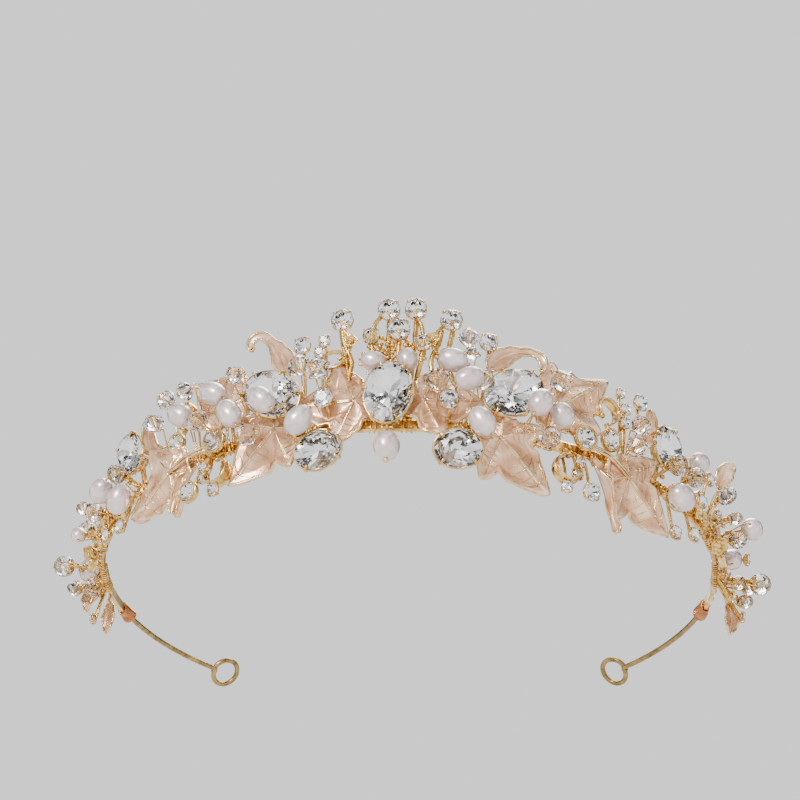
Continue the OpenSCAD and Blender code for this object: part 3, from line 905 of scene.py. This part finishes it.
def petal(node):
    """A curled strip of enamel, cupped more and more towards a rolled tip, with thick gold edges."""
    lean, swing, length, width, h0, h1, h2, hook, twist = PETALS[node]
    low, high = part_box(node)
    centre = (low + high) / 2 / MM
    flip = FLIPS[SIDES[node.split("_")[0]]]
    place = flip @ facing(flip @ centre, lean, 0, swing)
    kind = next((k for k in ("curl", "twist") if k in node), "plain")
    steps = 48
    across = 16
    here = Vector((0, 0, 0))
    rows = []
    for i in range(steps + 1):
        t = i / steps
        heading = h0 + (h1 - h0) * t / hook if t < hook else h1 + (h2 - h1) * (t - hook) / (1 - hook)
        w = width / 2 * between(WIDTHS[kind], t)
        roll = {"curl": 0.5 + 1.3 * max(t - 0.35, 0) / 0.65, "twist": 0.7 + 0.8 * t, "plain": 0.8}[kind]
        a = radians(heading + 90)
        tw = radians(twist * t)
        flatwise = Vector((cos(a) * cos(tw), sin(a) * cos(tw), -sin(tw)))
        through = Vector((cos(a) * sin(tw), sin(a) * sin(tw), cos(tw)))
        row = []
        for j in range(across + 1):
            s = 2 * j / across - 1
            radius = w / roll
            crease = 0.30 * w * exp(-(s / 0.16) ** 2) * (1 - t)
            wave = 0.10 * w * s * s * sin(11 * t + 2 * s)
            x = radius * sin(roll * s) * (1 if roll < 1.5 else 1.1)
            z = radius * (1 - cos(roll * s)) - crease + wave
            row.append(here + flatwise * x + through * z)
        rows.append((row, through))
        step = Vector((cos(radians(heading)), sin(radians(heading)), 0))
        here = here + step * (length / steps)
    rings = [row + [p - through * PETAL_T for p in row[::-1]] for row, through in rows]
    shape = Shape()
    shape.add(skin(rings), "enamel", place)
    for end in (0, -1):
        path = [row[end] - through * (PETAL_T / 2) for row, through in rows]
        shape.add(tube(path, 0.30, 8), "rim", place)
    tip = [p - rows[-1][1] * (PETAL_T / 2) for p in rows[-1][0]]
    shape.add(tube(tip, 0.34, 8), "rim", place)
    spine = [row[across // 2] + through * 0.03 for row, through in rows[3:-16]]
    shape.add(tube(spine, lambda q, turn: 0.19 - 0.12 * q, 6), "rim", place)
    corners = np.array([list(p) for p in shape.points])
    shift = centre - Vector((corners.min(0) + corners.max(0)) / 2)
    shape.points = [p + shift for p in shape.points]
    base = place @ (rows[0][0][across // 2] - rows[0][1] * (PETAL_T / 2)) + shift
    foot = strip_point(base)
    bend = foot.lerp(base, 0.5) + out_from(base) * 0.5
    add_curve(shape, [foot, bend, base, base.lerp(centre, 0.2)], 6, rope(0.36, 8), 10, "rim")
    shape.piece(node + "_cast", "root", "leaf_enamel", node)


# ---- Castings

def add_flower(shape, place, radius, petals, look):
    """A small cast flower: dished petals round a granule."""
    rings = []
    for i in range(6):
        share = 0.08 + 0.92 * i / 5
        rings.append([polar(radius * share * (0.78 + 0.22 * abs(cos(petals * t / 2))), t,
                            0.45 * radius * share ** 2) for t in round_turns(40)])
    back = [[p - UP * 0.3 for p in ring] for ring in rings]
    shape.add(skin(back + rings[::-1]), look, place)
    shape.add(ball(place @ Vector((0, 0, 0.25)), radius * 0.32), "gold")


def add_scroll(shape, flip, angle, height, out, radius, start, sweep):
    """A C scroll of ribbon that winds in a little, with bright rims and a ball at its end."""
    place = flip @ facing(on_ring(angle, height, out))
    steps = 40
    path = []
    for i in range(steps + 1):
        share = i / steps
        turn = radians(start + sweep * share)
        path.append(place @ polar(radius * (1 - 0.22 * share), turn, 0.5 * share))
    away = out_from(path[0])
    wide = 0.14 * radius ** 2
    shape.add(tube(path, tapered(wide, 0.5), 14, flat=0.34, wide=away), "gold")
    for sign in (-1, 1):
        edge = [p + away * (sign * 0.9 * wide * (0.5 + 0.5 * sin(pi * k / steps) ** 0.6))
                for k, p in enumerate(path)]
        shape.add(tube(edge, 0.24, 8), "rim")
    shape.add(ball(path[-1], 0.7), "gold")


# Each scroll: angle along the band, height, how far out, radius, the turn where it starts, its sweep
VINE_SCROLLS = [(37, 11.2, 1.8, 3, -60, 290), (29, -6.4, 1.8, 3.2, 100, 290), (62, 3, 1.9, 2.2, 20, 320),
                (76, -2.8, 1.9, 2.2, 20, 320), (88, 2.8, 1.9, 2.2, 20, 320)]
CENTRE_SCROLL = (9.4, 15.6, 1.6, 2.6, 60, 300)
GRANULE_ANGLES = range(12, 97, 3)
ENDS_FROM = 46


def ring_path(flip, places):
    """Places along the band, each an angle, a height and a distance out."""
    return [flip @ on_ring(*place) for place in places]


def vine(side_name):
    """Scrolls along the strip, each on its stem, with granules and leaf stalks between them."""
    side = SIDES[side_name]
    shape = Shape()
    flip = FLIPS[side]
    for scroll in VINE_SCROLLS:
        add_scroll(shape, flip, *scroll)
        angle, height, out, radius, _, _ = scroll
        near = height - copysign(radius, height)
        places = [(angle, copysign(0.9, height), 0.4), (angle + 1, near * 0.6, 1.3), (angle, near, out)]
        add_curve(shape, ring_path(flip, places), 6, rope(0.5, 3), 10, "cast")
    for kind in LEAF_LOBES:
        heart = leaf_frame(f"{side_name}_{kind}_leaf")[0].translation
        back = heart - out_from(heart) * 0.8
        foot = strip_point(heart)
        add_curve(shape, [foot, foot.lerp(back, 0.5) + out_from(heart) * 0.4, back], 6, 0.4, 8, "cast")
    heart = leaf_frame(f"{side_name}_maple_leaf")[0].translation
    start_angle = abs(band_angle(heart)) - 8
    for gap in (-0.45, 0.45):
        twin = ring_path(flip, [(start_angle, 1.2 + gap, 1.4), (start_angle + 4, -0.4 + gap, 3.0)])
        add_curve(shape, twin + [heart + UP * gap + out_from(heart) * 0.2], 10, 0.3, 8, "rim")
    for angle in GRANULE_ANGLES:
        wobble = noise_at(angle * 0.7, side * 2.0, 0)
        centre = flip @ on_ring(angle + wobble, 1.1 * wobble, 0.75)
        shape.add(ball(centre, 0.55 + 0.15 * wobble), "cast")
        shape.add(ball(flip @ on_ring(angle + 0.9 + wobble, 0.4 - wobble, 0.8), 0.42), "cast")
    end_castings(shape, side_name)
    shape.piece(f"{side_name}_vine_cast", "root", "gold", f"{side_name}_vine")


def end_castings(shape, side_name):
    """Granulated twigs, bead caps and small flowers that fill the ends between the strip and the beads."""
    for group in ("end_pearls", "end_crystals", "crystals", "pearls", "rhinestones"):
        for points in solids(f"{side_name}_{group}"):
            centre = Vector(points.mean(0))
            angle = abs(band_angle(centre))
            if angle < ENDS_FROM:
                continue
            out = out_from(centre)
            width = float(np.ptp(points, axis=0).min())
            foot = strip_point(centre)
            near = centre - out * (width * 0.42)
            middle = foot.lerp(near, 0.5) + UP * 0.5
            add_curve(shape, [foot, middle, near], 8, rope(0.34, 9), 10, "cast")
            if "rhinestones" in group:
                continue
            add_flower(shape, facing(near, CUP_LEAN), 0.42 * width, 6, "gold")
            granules = (near - foot).length / 1.1
            for k in range(int(granules)):
                spot = foot.lerp(near, (k + 0.6) / granules)
                turn = 2.4 * k + angle
                shift = (UP * cos(turn) + UP.cross(out) * sin(turn)) * 0.7
                shape.add(ball(spot + shift, 0.55), "cast")
    side = SIDES[side_name]
    for k in range(24):
        wobble = noise_at(k * 1.3, side * 4.0, 0)
        rise = 2.0 * sin(k * 1.9) + wobble
        spot = FLIPS[side] @ on_ring(56 + 1.45 * k, rise, 1.7 + 0.8 * sin(k * 2.7))
        look = "enamel" if k % 3 == 1 else "gold"
        add_flower(shape, facing(spot, CUP_LEAN - 12 * rise), 1.45 + 0.4 * wobble, 5, look)


def bead_cap(shape, point, side):
    """A gold cap with no bead in it: a dished flower with granules, turned down and to the front."""
    place = facing(point + out_from(point) * 0.5 - UP * 0.4, 42, 0, -35 * side)
    add_flower(shape, place, 2.3, 6, "gold")
    for k in range(6):
        t = pi / 3 * k
        shape.add(ball(place @ polar(1.05, t, 0.5), 0.55), "gold")


def lone_cup(side_name):
    """The middle of the front of the one cup that holds no stone."""
    clear_of_band = 1.6
    clear_of_stones = 3.4
    held = [points.mean(0) for points in solids(f"{side_name}_rhinestones")]
    points = np.vstack(solids(f"{side_name}_cups"))
    points = points[np.hypot(points[:, 0], points[:, 1]) > BAND_R + clear_of_band]
    clear = [p for p in points if min(np.linalg.norm(p - centre) for centre in held) > clear_of_stones]
    return Vector(np.mean(clear, axis=0))


# The spray's bow and stems: places along the band, with radius and strands' turns before them. A cup's
# stem has shares of the cup's angle in place of angles.
BOW = ((1.7, 25.6, 2.6), (2.6, 23.6, 2.9), (3.0, 21, 2.7), (3.1, 18, 2.2), (2.4, 12.5, 1.4))
FORK = (0.36, 12, ((8.2, 23.4, 2.6), (6.6, 20.4, 2.2), (7.0, 17.4, 2.0), (8.6, 15.8, 1.8)))
TRUNK = (0.5, 18, ((8.0, 22.6, 2.2), (7.6, 19.5, 2.0), (6.4, 15, 1.7), (6.8, 10, 1.2), (6, 2, 0.7)))
CUP_STEM = ((0.6, 0.8, 0.5), (0.8, 6, 1.0), (0.85, 11.5, 1.4))
STALK = (0.45, 12, ((9.4, 0.9, 0.5), (10.4, 7, 1.2), (9.4, 13.2, 1.6)))


def centre_spray(cups):
    """The tall centre casting: cup stems that bow outwards, two scrolls, and a bed of granules."""
    for points in solids("centre_rhinestones"):
        place, size = round_place(points)
        back = place @ Vector((0, 0, -0.3 * size - 0.2))
        angle = band_angle(back)
        below = back - UP * (size * 0.45) - out_from(back) * 0.3 + Vector((0.05 * angle, 0, 0))
        path = [on_ring(angle * lean, height, out) for lean, height, out in CUP_STEM]
        add_curve(cups, path + [below, back], 10, rope(0.5, 22), 12, "cast")
    for side, flip in FLIPS.items():
        add_scroll(cups, flip, *CENTRE_SCROLL)
        arch = [on_ring(side * angle + side + 1, height, out) for angle, height, out in BOW]
        add_curve(cups, arch, 8, rope(0.42, 16), 12, "cast")
        add_flower(cups, facing(flip @ on_ring(6.4, 19.6, 2.9), 10), 1.5, 5, "gold")
        for radius, twists, places in (FORK, TRUNK, STALK):
            add_curve(cups, ring_path(flip, places), 8, rope(radius, twists), 12, "cast")
    for row in range(7):
        reach = min(5, 8 - row)
        for k in range(-reach, reach + 1):
            wobble = noise_at(row * 1.7, k * 0.9, 3.1)
            spot = on_ring(k * 0.95 + 0.5 * (row % 2) + wobble, 14.5 + row * 0.95 + wobble,
                           2.2 - 0.1 * abs(k) + 0.5 * wobble)
            cups.add(ball(spot, 0.52 + 0.2 * wobble), "cast")
    cups.piece("centre_spray_cast", "root", "gold", "centre_spray")


# ---- Bindings, arms and the drop

def binding(side_name):
    """Copper wire wound closely round the strip's end and the arm's root. The turns open a little
    towards the arm, which leaves room for its flex."""
    side = SIDES[side_name]
    low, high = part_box(f"{side_name}_binding")
    centre = (low + high) / 2 / MM
    out = out_from(centre)
    axis = UP.cross(out)
    length = 5.5
    half_height = 1.59
    turns = 9
    wire = 0.31

    def half_width(slide):
        return 1.05 + 0.2 * max(side * slide, 0) + 0.09 * min(side * slide, 0)

    path = []
    steps = 20
    for i in range(turns * steps + 1):
        t = 2 * pi * i / steps
        slide = (length - 2 * wire) * (i / (turns * steps) - 0.5)
        spot = centre + axis * slide
        path.append(spot + out * (half_width(slide) * cos(t)) + UP * (half_height * sin(t)))
    shape = Shape()
    shape.add(tube(path, wire * 1.02, 8), "copper")
    for sign, start in ((-1, path[0]), (1, path[-1])):
        far = sign * length * 0.42
        near = sign * length * 0.15
        tail = [start + axis * (0.2 * sign), centre + axis * far + out * (half_width(far) + 0.3),
                centre + axis * near + out * (half_width(near) + 0.25) + UP * 0.6]
        add_curve(shape, tail, 6, wire * 0.9, 8, "copper")
    shape.piece(f"{side_name}_binding_coil", "root", "copper_wire", f"{side_name}_binding")


ARM_R = 0.65
EYELET_R = 3.45
EYELET_LEAN = -45.0
ARM_ROOT = 101.0
EYELET_AT = 134.5


def arm(side_name):
    """Spring wire along the band's circle, bent round into a closed eyelet."""
    flip = FLIPS[SIDES[side_name]]
    loop = facing(on_ring(EYELET_AT, 0, 0), EYELET_LEAN)
    reach = EYELET_AT - degrees(EYELET_R / BAND_R)
    path = [on_ring(ARM_ROOT + (reach - 1 - ARM_ROOT) * k / 40, 0, 0) for k in range(41)]
    steps = 28
    for k in range(steps + 1):
        t = radians(180 + 372 * k / steps)
        path.append(loop @ polar(EYELET_R, t, 0.62 * (k / steps - 0.5)))
    path = [flip @ p for p in path]
    shape = Shape()
    add_curve(shape, path, 2, ARM_R, 14, "arm")
    shape.add(ball(path[-1], ARM_R), "arm")
    shape.add(ball(path[0], ARM_R), "arm")
    shape.piece(f"{side_name}_arm_wire", f"{side_name}_arm", "arm_wire", f"{side_name}_arm")


def drop():
    """The drop pearl, its headpin bent to a loop, and the staple it hangs on."""
    low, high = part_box("drop_pearl")
    centre = (low + high) / 2 / MM
    pearl_size = (high - low) / MM
    shape = Shape()
    add_pearl(shape, Matrix.Translation(centre), pearl_size.x, pearl_size.z, 3.3)
    shape.piece("drop_pearl_drilled", "drop_pearl", "pearl", "drop_pearl")
    low, high = (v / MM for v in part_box("drop_pin"))
    loop_out = (high.y - low.y) / 2
    loop_r = 0.75
    wire = 0.22
    pivot = Vector((0, centre.y, high.z - loop_r - 0.25))
    path = [Vector((0, centre.y, z)) for z in (low.z + 0.15, centre.z, pivot.z - loop_r - 0.1)]
    for k in range(25):
        t = radians(-80 + 350 * k / 24)
        path.append(pivot + Vector((0.12 * (k / 24 - 0.5), loop_r * cos(t), loop_r * sin(t))))
    pin = Shape()
    pin.add(tube(path, wire, 8), "gold")
    pin.add(ball(Vector((0, centre.y, low.z + 0.2)), loop_out * 0.62, 0.5), "gold")
    pin.piece("drop_headpin", "drop_pin", "gold", "drop_pin")
    low, high = (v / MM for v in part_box("drop_hanger"))
    half = (high.x - low.x) / 2 - 0.2
    bar = low.y + 0.2
    staple = Shape()
    hook = [Vector((share * half, bar, pivot.z)) for share in (-1, -0.4, 0.4, 1)]
    ends = [Vector((sign * half, high.y - 0.2, high.z - 0.2)) for sign in (-1, 1)]
    add_curve(staple, [ends[0]] + hook + [ends[1]], 5, 0.2, 8, "gold")
    staple.piece("drop_staple", "root", "gold", "drop_hanger")


# ---- The whole

def make_tiara():
    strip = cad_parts["band_strip"].data
    strip.materials.clear()
    strip.materials.append(MATERIAL["gold"])
    for name in OVAL_CLAWS:
        oval_stone(name)
        oval_setting(name)
    centre_spray(round_stones("centre"))
    for side in SIDES:
        cups = round_stones(side)
        front = lone_cup(side)
        bead_cap(cups, front, SIDES[side])
        stem(cups, strip_point(front), front - out_from(front) * 0.3, 0.5)
        cups.piece(f"{side}_cups_cast", "root", "gold", f"{side}_cups")
        beads(side)
        vine(side)
        for kind in LEAF_LOBES:
            leaf(side, kind)
        binding(side)
        arm(side)
    for node in PETALS:
        petal(node)
    drop()


# ---- Stage

def mixed(tree, factor, first, second):
    """One shader turning into another as the factor rises from 0 to 1."""
    mix = add_node(tree, "MixShader", Fac=factor)
    tree.links.new(first, mix.inputs[1])
    tree.links.new(second, mix.inputs[2])
    return mix.outputs["Shader"]


def softbox(name, place, size, power, target=(0, 0, 0)):
    data = bpy.data.lights.new(name, "AREA")
    data.shape = "RECTANGLE"
    data.size, data.size_y = size
    data.energy = power
    made = add_object(name, data)
    made.location = place
    made.rotation_euler = (Vector(target) - Vector(place)).to_track_quat("-Z", "Y").to_euler()


def soft_lights():
    """Softboxes round the camera and one above."""
    right, up, back = camera_axes()
    front = Vector((0, -BAND_R * MM, 0.01))
    softbox("key", front + (back * 0.50 + up * 0.55 - right * 0.35), (0.22, 0.22), 8.0, front)
    softbox("fill", front + (back * 0.60 + up * 0.10 + right * 0.60), (0.12, 0.40), 2.6, front)
    softbox("low", front + (back * 0.50 - up * 0.50 - right * 0.10), (0.40, 0.10), 1.3, front)
    softbox("top", Vector((0.1, 0.25, 0.7)), (0.4, 0.4), 6.0)


def surround():
    """A pale surround. The stones and the gold reflect a banded one, dark to bright."""
    world = bpy.data.worlds.new("surround")
    bpy.context.scene.world = world
    world.use_nodes = True
    tree = world.node_tree
    tree.nodes.clear()
    place = add_node(tree, "TexCoord").outputs["Generated"]
    bands = ramp(tree, noise_of(tree, place, 2.4, 1.0),
                 [(0.41, (0.02, 0.02, 0.025)), (0.49, (0.34, 0.34, 0.35)),
                  (0.55, (0.90, 0.90, 0.90)), (0.61, (2.3, 2.3, 2.3))])
    lit = add_node(tree, "Background", Color=bands).outputs["Background"]
    seen = add_node(tree, "Background", Color=(1.15, 1.15, 1.16, 1)).outputs["Background"]
    straight = add_node(tree, "LightPath").outputs["Is Camera Ray"]
    add_node(tree, "OutputWorld", Surface=mixed(tree, straight, lit, seen))


def pale_floor():
    """A pale floor just under the tiara, which shows from above only."""
    size = 9.0
    gap = 0.0002
    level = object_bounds()[0].z - gap
    mesh = bpy.data.meshes.new("floor")
    corners = [(-size, -size, level), (size, -size, level), (size, size, level), (-size, size, level)]
    mesh.from_pydata(corners, [], [[0, 1, 2, 3]])
    floor = add_object("floor", mesh)
    made, tree, shader = new_material("floor")
    feed(tree, shader, Base_Color=(0.35, 0.35, 0.35, 1), Roughness=1.0, Specular_IOR_Level=0.0,
         Emission_Color=(1.0, 1.0, 1.01, 1), Emission_Strength=0.85)
    behind = add_node(tree, "NewGeometry").outputs["Backfacing"]
    clear = add_node(tree, "BsdfTransparent").outputs["BSDF"]
    feed(tree, tree.nodes["Material Output"], Surface=mixed(tree, behind, shader.outputs["BSDF"], clear))
    mesh.materials.append(made)
    floor.visible_shadow = False


make_camera()
make_tiara()
soft_lights()
surround()
pale_floor()
